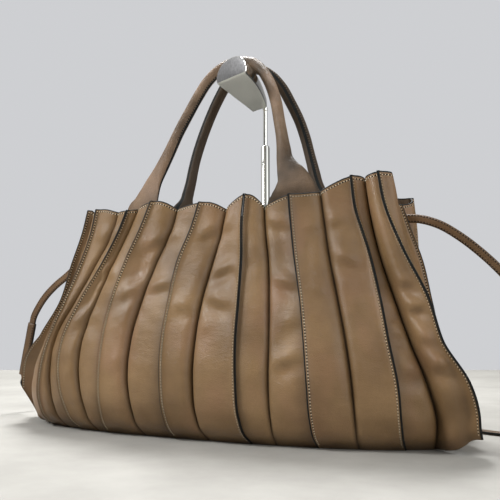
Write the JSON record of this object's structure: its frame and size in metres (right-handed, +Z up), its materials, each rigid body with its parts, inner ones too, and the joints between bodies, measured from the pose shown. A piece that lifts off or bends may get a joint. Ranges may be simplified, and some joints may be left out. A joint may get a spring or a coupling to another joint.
{
  "type": "tote bag on a display stand",
  "caption": "Pleated leather tote bag with two rolled handles and a shoulder strap, its handles held up by a plain metal display stand.",
  "frame": {"origin": "the middle of the base panel's underside, on the surface that the bag stands on", "axes": "+X towards the bag's right end as its front is faced, -Y towards the front, +Z up"},
  "size_m": [0.5999, 0.3058, 0.3734],
  "materials": {
    "leather": "semi-gloss taupe brown, fine grain, dark painted edges",
    "handle_leather": "satin greyed brown, finely wrinkled",
    "strap_leather": "satin dark brown, edge stitched",
    "stand_metal": "polished, with a brushed front face"
  },
  "bodies": {
    "root": {"base_panel": "leather", "panel_front_1": "leather", "panel_front_2": "leather", "panel_front_3": "leather", "panel_front_4": "leather", "panel_front_5": "leather", "panel_front_6": "leather", "panel_front_7": "leather", "panel_front_8": "leather", "panel_left_front": "leather", "panel_left_rear": "leather", "panel_rear_1": "leather", "panel_rear_2": "leather", "panel_rear_3": "leather", "panel_rear_4": "leather", "panel_rear_5": "leather", "panel_rear_6": "leather", "panel_rear_7": "leather", "panel_rear_8": "leather", "panel_right_rear": "leather", "panel_right_front": "leather", "handle_front": "handle_leather", "handle_rear": "handle_leather", "strap_right": "strap_leather", "strap_back": "strap_leather", "strap_left": "strap_leather", "strap_sleeve": "strap_leather", "stand_arm": "stand_metal", "stand_stem": "stand_metal", "stand_plate": "stand_metal"}
  },
  "joints": []
}
